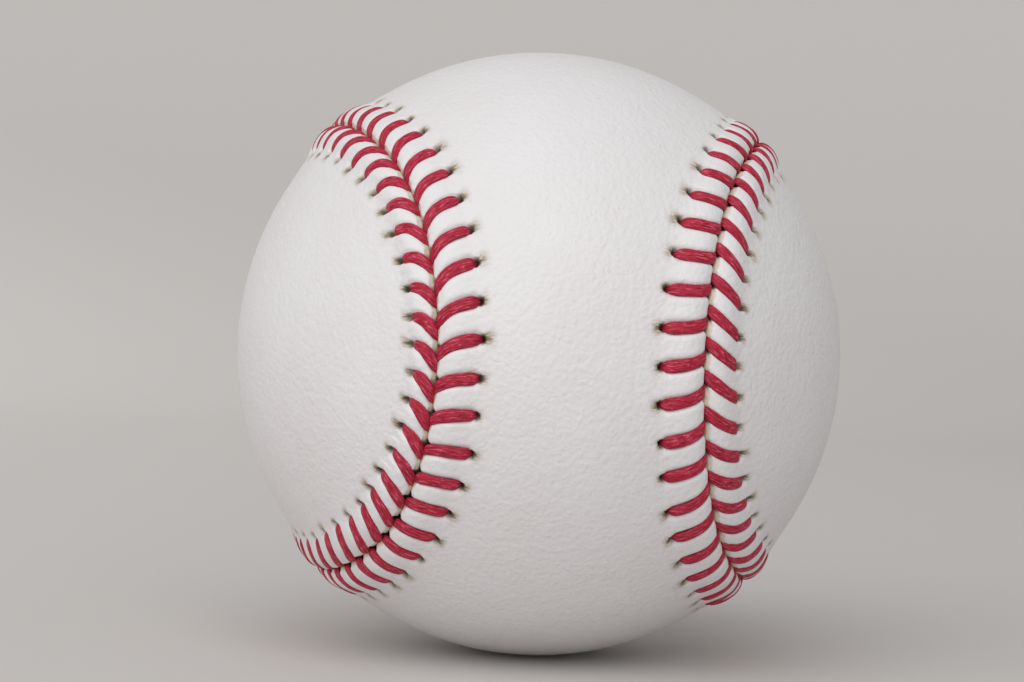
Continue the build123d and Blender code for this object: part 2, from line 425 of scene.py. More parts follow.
def new_piece(name, points, faces, material, node):
    """Smooth mesh piece at the origin that rides on the ball and stands for a node."""
    mesh = bpy.data.meshes.new(name)
    count, corners = faces.shape
    mesh.vertices.add(len(points))
    mesh.vertices.foreach_set("co", points.astype(np.float32).ravel())
    mesh.loops.add(count * corners)
    mesh.loops.foreach_set("vertex_index", faces.astype(np.int32).ravel())
    mesh.polygons.add(count)
    starts = np.arange(0, count * corners, corners, dtype=np.int32)
    mesh.polygons.foreach_set("loop_start", starts)
    mesh.update(calc_edges=True)
    if mesh.validate():
        raise RuntimeError(f"{name}: the mesh had faces that Blender took out")
    mesh.shade_smooth()
    mesh.materials.append(material)
    piece = bpy.data.objects.new(name, mesh)
    bpy.context.scene.collection.objects.link(piece)
    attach(piece, "root")
    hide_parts(node)
    return piece


# Leather
# Columns of the fine grid for each stitch, and how many of them share one of the coarse grid
FINE_PER_STITCH = 24
COARSE_SHARE = 12
# Half the width of the groove between the two cut edges, which slope down until they meet
GROOVE = 0.17 * MM
CUT_SHARES = np.array([0.02, 0.08, 0.5, 0.86])
CUT_DEPTHS = np.array([1.1, 0.5, 0.27, 0.12]) * MM
# Where a thread goes down it draws its own edge back, and the other edge less
NOTCH_SHIFT, NOTCH_REACH = 0.1 * MM, 1.0 * MM
OWN_NOTCH, OTHER_NOTCH = 0.56 * MM, 0.26 * MM
# The edge is rolled over, up to where it runs on into the slope of the raised lip
EDGE_ROLL = 0.3 * MM
EDGE_ANGLES = np.radians([14, 40])
EDGE_TOP = math.radians(63)
# Rows of the fine grid across the lip and the holes
BAND_PLACES = np.array([
    0.7, 1.0, 1.3, 1.65, 2.0, 2.4, 2.8, 3.2, 3.55, 3.85, 4.1, 4.3, 4.5, 4.7, 4.9, 5.1, 5.35, 5.65,
    6.0, 6.4, 6.9, 7.8, 9.0,
]) * MM
# Where the coarse grid starts, its rows, and the power that spaces them
FIELD_START, FIELD_ROWS, FIELD_POWER = 9.6 * MM, 15, 0.9
# Rows of the underside below the lip
UNDER_PLACES = np.array([[2.4], [6.0]]) * MM
# The lip is level up to here, and domed on top: highest here, and down again just past the holes
LIP_LEVEL = 1.0 * MM
DOME_PLACE, DOME_HEIGHT, DOME_PAST_HOLE = 2.0 * MM, 0.63 * MM, 0.7 * MM
# The furrow under a stitch, as squared as its power is high, which ends on both sides of the hole
FURROW_DEPTH, FURROW_HALF_WIDTH, FURROW_POWER = 0.62 * MM, 0.74 * MM, 3.4
FURROW_FADE = (-0.5 * MM, 0.3 * MM)
# The needle hole: a steep pit, a little flattened across the seam
HOLE_OFFSET, HOLE_RADIUS, HOLE_DEPTH = 0.1 * MM, 0.47 * MM, 0.75 * MM
HOLE_FLATNESS, HOLE_POWER = 0.85, 6
# The frayed rim: a fan that widens away from the hole and turns with its stitch, in a shallow dish
FAN_HALF_WIDTH, FAN_SPREAD, FAN_TURN = 0.36 * MM, 0.3, 0.45
DISH_PLACE, DISH_LENGTH, DISH_DEPTH = 0.4 * MM, 0.8 * MM, 0.08 * MM
HAIR_START, HAIR_LENGTH, HAIR_FADE = -0.4 * MM, 1.0 * MM, 0.25
HAIR_PALEST = 0.7
# Each hole takes its fibres from its own part of the pattern
PATTERN_STEP = 3.7 * MM


def lip_height(seam, across):
    """Height of the raised edge: level beside the seam, then falling smoothly to the ball."""
    return seam.lip_rise * (1 - smooth_step(LIP_LEVEL, seam.lip_width, across))


def leather_height(seam, own, along, across):
    """Height of the sewn leather over the ball, the painted shade in its holes, and how dark its
    frayed rims are.

    The leather rises towards the seam in a domed lip. Every stitch lies in a furrow across the
    lip, so that the leather puffs up between two stitches, and a pit surrounds each hole. The
    frayed rim fans out from the hole in line with its stitch. The last result is each point's
    place counted from its hole.
    """
    hole_gap, number = nearest_stitch(seam, along, own.hole)
    distance = own.distance[number]
    outside = across - distance
    leans = own.dive - own.hole
    thread_gap = np.full(along.shape, np.inf)
    for step in (-1, 0, 1):
        trial = (number + step) % len(own.hole)
        share = 1 - across / (own.distance[trial] - THREAD_INSET)
        leg = own.hole[trial] + leans[trial] * leg_share(share, own.bend[trial])
        thread_gap = np.minimum(thread_gap, np.abs(shorter_way(seam, along - leg)))
    near_seam = 1 - np.clip(1 - across / DOME_PLACE, 0, 1) ** 2
    dome = near_seam * (1 - smooth_step(DOME_PLACE, distance + DOME_PAST_HOLE, across))
    furrow = np.exp(-((thread_gap / FURROW_HALF_WIDTH) ** FURROW_POWER))
    furrow *= 1 - smooth_step(*FURROW_FADE, outside)
    reach = np.hypot(hole_gap, (outside - HOLE_OFFSET) / HOLE_FLATNESS)
    hole = np.exp(-((reach / HOLE_RADIUS) ** HOLE_POWER))
    aside = hole_gap + leans[number] * FAN_TURN / distance * outside
    fan_width = FAN_HALF_WIDTH + FAN_SPREAD * np.clip(outside, 0, None)
    fan = np.exp(-((aside / fan_width) ** 2))
    dish = fan * np.exp(-(((outside - DISH_PLACE) / DISH_LENGTH) ** 2))
    height = lip_height(seam, across) + DOME_HEIGHT * dome - FURROW_DEPTH * furrow
    height -= HOLE_DEPTH * hole + DISH_DEPTH * dish
    length = HAIR_LENGTH * (1 + own.mark[0][number])
    hair = fan * smooth_step(HAIR_START, 0.0, outside)
    hair *= 1 - smooth_step(HAIR_FADE * length, length, outside)
    strength = own.mark[1][number]
    # Painted shade in the hole, stronger at some holes than at others
    hole *= own.hole_shade + (1 - own.hole_shade) * strength
    hair *= HAIR_PALEST + (1 - HAIR_PALEST) * strength
    return height, hole, hair, np.stack([aside, outside, number * PATTERN_STEP], -1)


def cover_panel(seam, sewing, side):
    """Points, triangles and marks of one leather panel, as one closed shell.

    Beside the seam it is a fine grid of distance along the seam by a profile: the underside of the
    cut edge, round the edge, and out across the holes. Past that a coarse grid runs on great
    circles to the panel's middle line, outside and inside.
    """
    fine = FINE_PER_STITCH * sewing.stitch_count
    coarse = fine // COARSE_SHARE
    along = np.arange(fine)[None, :] * seam.length / fine
    own, other = stitch_places(seam, sewing, side), stitch_places(seam, sewing, -side)
    own_gap, other_gap = (
        nearest_stitch(seam, along + NOTCH_SHIFT, row.dive)[0] / NOTCH_REACH for row in (own, other)
    )
    notch = np.maximum(OWN_NOTCH * np.exp(-(own_gap**2)), OTHER_NOTCH * np.exp(-(other_gap**2)))
    edge = GROOVE + notch
    crest = edge + EDGE_ROLL * (1 - math.cos(EDGE_TOP))
    first_place, last_place = BAND_PLACES[[0, -1]]
    stretch = (last_place - crest) / (last_place - first_place)
    band = crest + (BAND_PLACES[:, None] - first_place) * stretch
    band_along = np.broadcast_to(along, band.shape)
    band_height, hole, hair, hair_place = leather_height(seam, own, band_along, band)
    angles = EDGE_ANGLES[:, None]
    roll = crest + EDGE_ROLL * (math.cos(EDGE_TOP) - np.cos(angles))
    roll_height = band_height[:1] - EDGE_ROLL * (math.sin(EDGE_TOP) - np.sin(angles))
    cut = edge * CUT_SHARES[:, None]
    cut_height = roll_height[:1] - CUT_DEPTHS[:, None]
    across = np.concatenate([cut, roll, band])
    height = np.concatenate([cut_height, roll_height, band_height])
    outer = seam_points(seam, along, side * across, height)

    coarse_along = along[:, ::COARSE_SHARE]
    ring = seam_points(seam, coarse_along, side * FIELD_START, 0.0).reshape(-1, 3) / seam.radius
    shares = np.linspace(0, 1, FIELD_ROWS)[:, None, None] ** FIELD_POWER
    field = great_circles(ring, panel_middle_line(seam, ring, side), shares)
    under_height = lip_height(seam, UNDER_PLACES) - seam.thickness
    under_lip = seam_points(seam, coarse_along, side * UNDER_PLACES, under_height)
    under_field = field[::2] * (seam.radius - seam.thickness)
    grids = (outer, field * seam.radius, under_lip, under_field)
    points = np.concatenate([grid.reshape(-1, 3) for grid in grids])

    rows, under_rows = len(across), len(under_lip) + len(under_field)
    field_start = rows * fine
    under_start = field_start + FIELD_ROWS * coarse
    triangles = np.concatenate([
        as_triangles(grid_quads(rows, fine)),
        fan_triangles((rows - 1) * fine, fine, field_start, coarse),
        as_triangles(grid_quads(FIELD_ROWS, coarse, start=field_start)),
        fan_triangles(0, fine, under_start, coarse)[:, ::-1],
        as_triangles(grid_quads(under_rows, coarse, start=under_start))[:, ::-1],
    ])
    cut_end, band_start = len(cut) * fine, (len(cut) + len(roll)) * fine
    painted_hole_shade, frayed, cut_edge = np.zeros((3, len(points)))
    # Painted shade at the foot of the notches where this panel's stitches go down
    painted_hole_shade[:cut_end] = np.broadcast_to(np.exp(-(own_gap**4)), cut.shape).ravel()
    painted_hole_shade[band_start:field_start] = hole.ravel()
    frayed[band_start:field_start] = hair.ravel()
    cut_edge[:cut_end] = cut_edge[under_start:] = 1
    places = np.zeros((len(points), 3))
    places[band_start:field_start] = hair_place.reshape(-1, 3)

    points, triangles, first = welded(points, triangles)
    marks = {"painted_hole_shade": painted_hole_shade, "hair": frayed, "cut_edge": cut_edge, "hair_place": places}
    marks = {name: values[first] for name, values in marks.items()}
    return points, triangles if side > 0 else triangles[:, ::-1], marks


def panel_middle_line(seam, ring, side):
    """Point of a panel's middle line for each direction of a ring round the panel.

    The middle line of the front panel is an arc over the waist from one lobe's middle to the
    other's, and a direction goes to the point of it at the same angle, or to its end.
    """
    turned = ring if side > 0 else ring @ QUARTER_STEP.T
    end = math.acos(-seam.middle[1])
    angle = np.clip(np.arctan2(turned[:, 2], -turned[:, 1]), -end, end)
    line = np.stack([np.zeros(len(angle)), -np.cos(angle), np.sin(angle)], -1)
    return line if side > 0 else line @ QUARTER_STEP


def great_circles(start, end, shares):
    """Points at shares of the way along the great circles between pairs of directions."""
    angle = np.arccos(np.clip((start * end).sum(-1), -1, 1))[None, :, None]
    return (np.sin((1 - shares) * angle) * start + np.sin(shares * angle) * end) / np.sin(angle)


def leather_material(colour):
    """White full-grain cowhide, alum tanned, with a soft sheen.

    It gives the eye a fine pebbled grain that breaks up a broad highlight, faint clouds of warmer
    white, needle holes and notch feet darkened with painted shade, hair-fine cracks beyond the
    holes, and a tan cut edge.
    """
    material, tree = new_material("alum_tanned_leather")
    place = add_node(tree, "ShaderNodeTexCoord").outputs["Object"]
    painted_hole_shade, hair, cut_edge, hair_place = (
        add_node(tree, "ShaderNodeAttribute", {"attribute_name": name}).outputs
        for name in ("painted_hole_shade", "hair", "cut_edge", "hair_place")
    )
    # Clouds 11 mm across, swells of 6 mm, a warp of 1.4 mm for the grain, and pores of 0.3 mm
    clouds, swells, warp, pores = (
        add_node(tree, "ShaderNodeTexNoise", sockets={
            "Vector": place, "Scale": 1 / (size * MM), "Detail": detail})
        for size, detail in ((11, 4.0), (6, 2.0), (1.4, 2.0), (0.3, 2.0))
    )

    # Frayed fibres round a hole are about 0.1 mm wide and 1 mm long
    fibre_place = add_node(tree, "ShaderNodeMapping", sockets={
        "Vector": hair_place["Vector"], "Scale": (1 / (0.2 * MM), 1 / (1.0 * MM), 1 / MM)})
    streaks = add_node(tree, "ShaderNodeTexNoise", sockets={
        "Vector": fibre_place.outputs[0], "Scale": 1.0, "Detail": 3.0, "Distortion": 0.6})
    streak_share = add_node(tree, "ShaderNodeMapRange", sockets={
        "Value": streaks.outputs["Fac"], "From Min": 0.36, "From Max": 0.56, "To Min": 0.3})
    hair_share = add_node(tree, "ShaderNodeMath", {"operation": "MULTIPLY"}, {
        0: hair["Fac"], 1: streak_share.outputs[0]})
    pale_share = add_node(tree, "ShaderNodeMapRange", sockets={
        "Value": hair_share.outputs[0], "From Max": 0.5})
    dark_share = add_node(tree, "ShaderNodeMapRange", sockets={
        "Value": hair_share.outputs[0], "From Min": 0.4, "To Max": 0.9})

    # Colour: clouds, then pale and dark fibres, the cut edge, and painted shade in the holes and
    # notch feet over them
    cloud_share = add_node(tree, "ShaderNodeMapRange", sockets={
        "Value": clouds.outputs["Fac"], "From Min": 0.3, "From Max": 0.7})
    warm = [part * share for part, share in zip(colour, (0.97, 0.958, 0.95))]
    tone = add_node(tree, "ShaderNodeMix", COLOUR_MIX, {
        "Factor": cloud_share.outputs[0], COLOUR_A: opaque(colour), COLOUR_B: opaque(warm)})
    layers = ((pale_share.outputs[0], "#A89B80"), (dark_share.outputs[0], "#50452F"),
              (cut_edge["Fac"], "#EBDFCB"), (painted_hole_shade["Fac"], "#1C120E"))
    for share, code in layers:
        tone = add_node(tree, "ShaderNodeMix", COLOUR_MIX, {
            "Factor": share, COLOUR_A: tone.outputs[MIXED], COLOUR_B: opaque(linear(code))})

    # Grain pebbles 0.65 mm across with short wrinkles between, drawn deep enough to show
    warped = add_node(tree, "ShaderNodeVectorMath", {"operation": "MULTIPLY_ADD"}, {
        0: warp.outputs["Color"], 1: (0.9 * MM,) * 3, 2: place})
    pebbles = add_node(tree, "ShaderNodeTexVoronoi", {"feature": "SMOOTH_F1"}, {
        "Vector": warped.outputs[0], "Scale": 1 / (0.65 * MM), "Smoothness": 0.5})
    wrinkles = add_node(tree, "ShaderNodeTexNoise", sockets={
        "Vector": place, "Scale": 1 / (0.9 * MM), "Detail": 2.0, "Roughness": 0.55,
        "Distortion": 1.0})
    reliefs = ((swells.outputs["Fac"], 0.25 * MM, 0.5, False),
               (wrinkles.outputs["Fac"], 0.12 * MM, 0.6, False),
               (pebbles.outputs["Distance"], 0.1 * MM, 0.6, True),
               (pores.outputs["Fac"], 0.04 * MM, 0.4, False))
    below = {}
    for height, depth, strength, inverted in reliefs:
        bump = add_node(tree, "ShaderNodeBump", {"invert": inverted}, {
            "Height": height, "Distance": depth, "Strength": strength, **below})
        below = {"Normal": bump.outputs[0]}

    roughness = add_node(tree, "ShaderNodeMapRange", sockets={
        "Value": clouds.outputs["Fac"], "To Min": 0.4, "To Max": 0.52})
    shader = add_node(tree, "ShaderNodeBsdfPrincipled", sockets={
        "Base Color": tone.outputs[MIXED], "Roughness": roughness.outputs[0], "IOR": 1.48,
        "Sheen Weight": 0.05, **below})
    add_node(tree, "ShaderNodeOutputMaterial", sockets={"Surface": shader.outputs[0]})
    return material


class BASEBALL_OT_leather_panels(bpy.types.Operator):
    """Make the two figure-eight leather panels, with their sewn edges, holes and grain"""

    bl_idname = "baseball.leather_panels"
    bl_label = "Leather Panels"

    def execute(self, context):
        seam = seam_shape(context.scene.baseball_seam)
        sewing = context.scene.baseball_stitching
        leather = leather_material(context.scene.baseball_colours.leather)
        for side, panel in ((1, "front"), (-1, "back")):
            points, triangles, marks = cover_panel(seam, sewing, side)
            piece = new_piece(f"{panel}_leather", points, triangles, leather,
                              f"{panel}_cover_panel")
            for name, values in marks.items():
                kind, field = ("FLOAT", "value") if values.ndim == 1 else ("FLOAT_VECTOR", "vector")
                attribute = piece.data.attributes.new(name, kind, "POINT")
                attribute.data.foreach_set(field, values.astype(np.float32).ravel())
        return {"FINISHED"}


# Thread
THREAD_SIDES = 12
# Below 1, the power of the profile's cosine and sine squares it a little
PROFILE_POWER = 0.75
# Stations of a stitch, from below its hole, over the raised edge and down between the two edges:
# share of the way to the seam, height and slide along the seam in mm, and how wide and how high
# the thread is there, as shares of its own
STATIONS = np.array([
    (-0.03, -1.9, 0.0, 0.55, 1.1),
    (-0.03, -0.8, 0.0, 0.68, 1.1),
    (0.0, 0.02, 0.0, 0.95, 1.0),
    (0.14, 0.36, 0.0, 1.0, 0.95),
    (0.36, 0.66, 0.0, 1.0, 1.0),
    (0.6, 0.77, 0.0, 1.02, 1.0),
    (0.8, 0.63, 0.03, 1.0, 1.0),
    (0.93, 0.3, 0.2, 0.85, 0.95),
    (0.98, -0.12, 0.75, 0.5, 0.8),
    (0.99, -1.4, 1.1, 0.45, 0.85),
])
# The last station is under the other panel, half way to the next hole: its height in mm, and how
# wide and how high the thread is there
UNDER_STATION = (-1.95, 0.5, 1.0)
STATION_COUNT = len(STATIONS) + 1
# Where on a stitch's stations its rings are: close together where the thread shows
THREAD_RINGS = np.concatenate([[0, 0.6, 1.2], np.arange(1.6, 8.7, 0.35), [9, 9.5, 10, 10.5]])
# How unevenly a stitch lies over the leather, in mm, from this height on
LIFT, LIFTED_FROM = 0.05, 0.3
# Seed of the thread's unevenness, the needle's first side added
THREAD_SEED = 37


def needle_run(seam, sewing, first_side):
    """Stations of one needle's way round the ball, and the thread's half width and height there.

    A stitch comes up through its hole, runs over the raised edge, leaning along the seam, goes
    down between the edges, and passes under the other panel to its next hole.
    """
    count = sewing.stitch_count
    sides = np.where(np.arange(count) % 2 == 0, first_side, -first_side)
    front, back = (stitch_places(seam, sewing, side) for side in (1, -1))
    hole, dive, distance, bend, lift = (
        np.where(sides > 0, getattr(front, name), getattr(back, name))
        for name in ("hole", "dive", "distance", "bend", "lift")
    )
    next_hole = np.roll(hole, -1)
    next_hole[-1] += seam.length
    share, height, slide, wide, high = STATIONS.T
    under_height, under_wide, under_high = UNDER_STATION
    along = hole[:, None] + (dive - hole)[:, None] * leg_share(share, bend[:, None]) + slide * MM
    across = (sides * (distance - THREAD_INSET))[:, None] * (1 - share)
    heights = (height + LIFT * lift[:, None] * (height > LIFTED_FROM)) * MM
    over = np.stack([along, across, heights], -1)
    under = np.stack([
        (dive + slide[-1] * MM + next_hole) / 2, -sides * np.roll(distance, -1) / 2,
        np.full(count, under_height * MM),
    ], -1)
    stations = np.concatenate([over, under[:, None]], 1).reshape(-1, 3)
    section = np.stack([
        np.append(wide, under_wide) * sewing.thread_half_width,
        np.append(high, under_high) * sewing.thread_half_height,
    ], -1)
    chance = np.random.default_rng(THREAD_SEED + first_side)
    uneven = chance.uniform(-1, 1, (count, STATION_COUNT, 1))
    thickness = section * (1 + sewing.width_unevenness * uneven)
    return stations, thickness.reshape(-1, 2)


def spline_points(stations, places):
    """Points of a closed cubic B-spline, at places counted in its stations."""
    number = np.floor(places).astype(int)
    part = (places - number)[:, None]
    shares = [
        (1 - part) ** 3, 3 * part**3 - 6 * part**2 + 4,
        -3 * part**3 + 3 * part**2 + 3 * part + 1, part**3,
    ]
    count = len(stations)
    return sum(
        share * stations[(number + step - 1) % count] for step, share in enumerate(shares)
    ) / 6


def run_points(stations, places, turn_length):
    """The same for a run whose first coordinate grows by a whole turn each time round."""
    before, after = stations[-1:].copy(), stations[:2].copy()
    before[:, 0] -= turn_length
    after[:, 0] += turn_length
    return spline_points(np.concatenate([before, stations, after]), places + 1)


def thread_tube(seam, sewing, first_side):
    """Points, quads and UV of one needle's thread: a flattened round profile carried along its run.

    The run is a closed cubic B-spline, worked out in distances along and across the seam. The
    profile is an ellipse with its cosine and sine raised to a power below one. Its wide way is the
    seam's way, square to the run. The UV runs in metres along and in turns around.
    """
    stations, thickness = needle_run(seam, sewing, first_side)
    places = (np.arange(sewing.stitch_count)[:, None] * STATION_COUNT + THREAD_RINGS).ravel()
    along, across, height = run_points(stations, places, seam.length).T
    half_width, half_height = spline_points(thickness, places).T[..., None]
    centre = seam_points(seam, along, across, height)
    way = seam_ways(seam, along)[1]
    forward = unit(np.roll(centre, -1, 0) - np.roll(centre, 1, 0))
    wide = unit(way - forward * (way * forward).sum(1, keepdims=True))
    high = np.cross(forward, wide)
    around = TURN * np.arange(THREAD_SIDES) / THREAD_SIDES
    out, up = (
        np.sign(part) * np.abs(part) ** PROFILE_POWER for part in (np.cos(around), np.sin(around))
    )
    points, quads = closed_tube(centre, half_width * wide, half_height * high, out, up)
    steps = np.linalg.norm(np.roll(centre, -1, 0) - centre, axis=1)
    length = np.concatenate([[0], np.cumsum(steps)])
    ring, side = np.divmod(np.arange(len(quads)), THREAD_SIDES)
    over = np.stack([side, side + 1, side + 1, side], -1) / THREAD_SIDES
    run_length = length[np.stack([ring, ring, ring + 1, ring + 1], -1)]
    return points, quads, np.stack([run_length, over], -1)


def thread_material(colour):
    """Red cotton thread, waxed and pulled flat.

    It gives the eye fine fibres along the strand, their tone partly real and partly painted:
    painted sheen in pale pink on some fibres and painted shade in dark red between, with the soft
    shine of wax.
    """
    material, tree = new_material("waxed_cotton_thread")
    strand = add_node(tree, "ShaderNodeUVMap", {"uv_map": "strand"}).outputs[0]
    # Fibres 0.15 mm wide and 1.1 mm long, a little askew
    fibre_place = add_node(tree, "ShaderNodeMapping", sockets={
        "Vector": strand, "Rotation": (0, 0, 0.3), "Scale": (1 / (1.1 * MM), 26.0, 1.0)})
    fibres = add_node(tree, "ShaderNodeTexNoise", {"noise_dimensions": "2D"}, {
        "Vector": fibre_place.outputs[0], "Scale": 1.0, "Detail": 4.0, "Roughness": 0.65,
        "Distortion": 0.5})
    # Place of each stop, its share of the thread's colour, and its share of the painted sheen tint.
    # The darkest stop is partly painted shade between fibres, the palest partly painted sheen
    stops = ((0.28, 0.36, 0.0), (0.46, 0.98, 0.0), (0.58, 1.15, 0.03), (0.7, 1.25, 0.2))
    painted_sheen_tint = (1.0, 0.75, 1.05)
    ramp = add_node(tree, "ShaderNodeValToRGB", sockets={"Fac": fibres.outputs["Fac"]})
    elements = ramp.color_ramp.elements
    for number, (place, share, pale) in enumerate(stops):
        stop = elements[number] if number < 2 else elements.new(place)
        stop.position = place
        stop.color = opaque(part * share + pale * tint for part, tint in zip(colour, painted_sheen_tint))
    # Single fibres, half as wide
    fine_place = add_node(tree, "ShaderNodeMapping", sockets={
        "Vector": strand, "Scale": (1 / (0.8 * MM), 48.0, 1.0)})
    fine_fibres = add_node(tree, "ShaderNodeTexNoise", {"noise_dimensions": "2D"}, {
        "Vector": fine_place.outputs[0], "Scale": 1.0, "Detail": 2.0})
    coarse_bump = add_node(tree, "ShaderNodeBump", sockets={
        "Strength": 0.8, "Distance": 0.12 * MM, "Height": fibres.outputs["Fac"]})
    bump = add_node(tree, "ShaderNodeBump", sockets={
        "Strength": 0.5, "Distance": 0.05 * MM, "Height": fine_fibres.outputs["Fac"],
        "Normal": coarse_bump.outputs[0]})
    shader = add_node(tree, "ShaderNodeBsdfPrincipled", sockets={
        "Base Color": ramp.outputs[0], "Roughness": 0.55, "IOR": 1.4, "Sheen Weight": 0.04,
        "Sheen Roughness": 0.4, "Sheen Tint": opaque(linear("#E8A0B0")),
        "Normal": bump.outputs[0]})
    add_node(tree, "ShaderNodeOutputMaterial", sockets={"Surface": shader.outputs[0]})
    return material


class BASEBALL_OT_seam_thread(bpy.types.Operator):
    """Sew the seam with two needles' runs of red waxed thread"""

    bl_idname = "baseball.seam_thread"
    bl_label = "Seam Thread"

    def execute(self, context):
        seam = seam_shape(context.scene.baseball_seam)
        finish = thread_material(context.scene.baseball_colours.thread)
        (points, quads, uv), (other_points, other_quads, other_uv) = (
            thread_tube(seam, context.scene.baseball_stitching, side) for side in (1, -1)
        )
        piece = new_piece(
            "sewn_thread", np.concatenate([points, other_points]),
            np.concatenate([quads, other_quads + len(points)]), finish, "seam_thread",
        )
        strand = piece.data.uv_layers.new(name="strand")
        strand.data.foreach_set("uv", np.concatenate([uv, other_uv]).astype(np.float32).ravel())
        return {"FINISHED"}


# Windings
YARN_SIDES = 5
YARN_RINGS = 72
BALL_ROWS, BALL_COLUMNS = 96, 192
# Half width, half height and depth of the yarn's middle, as shares of its thickness
YARN_WIDE, YARN_HIGH, YARN_DEPTH = 0.62, 0.5, 0.55
# How far a turn goes under others, as a share of the thickness, and how often in one turn
WEAVE, WAVES_PER_TURN = 0.25, 7.31
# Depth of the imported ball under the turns, as shares of the yarn, and of the winding at most
PACKED_DEPTH, PACKED_MOST = 1.05, 0.5
# Middle and swing of the cosine of the turns' tip
TIP_MIDDLE, TIP_SWING = 0.5, 0.49
# Half the width of the floor of the valley along the seam, and the points it is measured from
DENT_FLOOR, DENT_POINTS, DENT_PARTS = 0.6 * MM, 1600, 40
# Room between two layers
LAYER_GAP = 0.05 * MM
# Each winding: its piece, its node, slot, material and colour, yarn thickness in mm, turns, how
# often they swing round, and how far the sewn edges press it in, in mm
WINDINGS = (
    ("finishing_yarn", "finishing_winding", "finishing_yarn", "spun_cotton",
     "#E4DED0", 0.42, 167, 7, 0.9),
    ("third_yarn", "third_winding", "grey_wool_yarn", "spun_grey_wool",
     "#8A8680", 0.9, 149, 5, 0.9),
    ("second_yarn", "second_winding", "white_wool_yarn", "spun_white_wool",
     "#DDD6C6", 0.8, 151, 6, 0.0),
    ("first_yarn", "first_winding", "grey_wool_yarn", "spun_dark_grey_wool",
     "#7C7872", 1.1, 113, 5, 0.0),
)


def seam_dent(seam, ways, depth):
    """How far the sewn edges press a winding in at each direction: a valley along the seam."""
    outward = seam_ways(seam, np.arange(DENT_POINTS) * seam.length / DENT_POINTS)[0]
    parts = np.array_split(ways, DENT_PARTS)
    nearest = np.concatenate([(part @ outward.T).max(1) for part in parts])
    distance = np.arccos(np.clip(nearest, -1, 1)) * seam.radius
    return depth * (1 - smooth_step(DENT_FLOOR, seam.lip_width, distance))


def yarn_turns(turns, drift):
    """Directions of a yarn wound round a ball in whole turns, each nearly a great circle.

    The turns' plane tips from level to upright and back while it swings round the ball a whole
    number of times, so the yarn closes on itself. The number of turns is prime, so that no two of
    them lie in the same place.
    """
    place = np.arange(turns * YARN_RINGS) / YARN_RINGS
    tip = np.arccos(np.clip(TIP_MIDDLE + TIP_SWING * np.cos(TURN * place / turns), -1, 1))
    swing = TURN * drift * place / turns
    across = np.stack([np.cos(swing), np.sin(swing), np.zeros(len(place))], -1)
    upward = np.stack([-np.sin(swing) * np.cos(tip), np.cos(swing) * np.cos(tip), np.sin(tip)], -1)
    angle = (TURN * place)[:, None]
    return np.cos(angle) * across + np.sin(angle) * upward


def ball_grid():
    """Directions all round a ball, on a grid of two angles with two poles, and its triangles."""
    fall = (np.arange(BALL_ROWS) + 0.5)[:, None] * math.pi / BALL_ROWS
    turn = np.arange(BALL_COLUMNS)[None, :] * TURN / BALL_COLUMNS
    level = np.broadcast_to(np.cos(fall), (BALL_ROWS, BALL_COLUMNS))
    grid = np.stack([np.sin(fall) * np.cos(turn), np.sin(fall) * np.sin(turn), level], -1)
    ways = np.concatenate([grid.reshape(-1, 3), [[0, 0, 1], [0, 0, -1]]])
    ring = np.arange(BALL_COLUMNS)
    after = (ring + 1) % BALL_COLUMNS
    top = np.full(BALL_COLUMNS, BALL_ROWS * BALL_COLUMNS)
    last = top - BALL_COLUMNS
    return ways, np.concatenate([
        as_triangles(grid_quads(BALL_ROWS, BALL_COLUMNS)[:, ::-1]),
        np.stack([ring, after, top], -1), np.stack([last + after, last + ring, top + 1], -1),
    ])


def wound_yarn(seam, outside, inside, yarn, turns, drift, dents):
    """Points and triangles of a winding: a hollow ball of packed yarn with its top turns on it.

    The turns are a flattened round profile carried along the yarn's way, which rises and falls a
    little so that it crosses over and under itself. The ball is pressed in along the seam, outside
    and inside each by its own depth.
    """
    dent, inner_dent = dents
    ways = yarn_turns(turns, drift)
    rings = np.arange(len(ways))
    weave = WEAVE * yarn * np.sin(TURN * round(WAVES_PER_TURN * turns) * rings / len(ways))
    reach = outside - YARN_DEPTH * yarn - np.abs(weave) - seam_dent(seam, ways, dent)
    centre = ways * reach[:, None]
    forward = unit(np.roll(centre, -1, 0) - np.roll(centre, 1, 0))
    wide = np.cross(ways, forward)
    around = TURN * np.arange(YARN_SIDES) / YARN_SIDES
    points, quads = closed_tube(
        centre, YARN_WIDE * yarn * wide, YARN_HIGH * yarn * ways, np.cos(around), np.sin(around)
    )
    ball, faces = ball_grid()
    depth = min(PACKED_DEPTH * yarn, PACKED_MOST * (outside - inside))
    outer = ball * (outside - depth - seam_dent(seam, ball, dent))[:, None]
    inner = ball * (inside - seam_dent(seam, ball, inner_dent))[:, None]
    triangles = [
        as_triangles(quads), faces + len(points), faces[:, ::-1] + len(points) + len(ball)
    ]
    return np.concatenate([points, outer, inner]), np.concatenate(triangles)


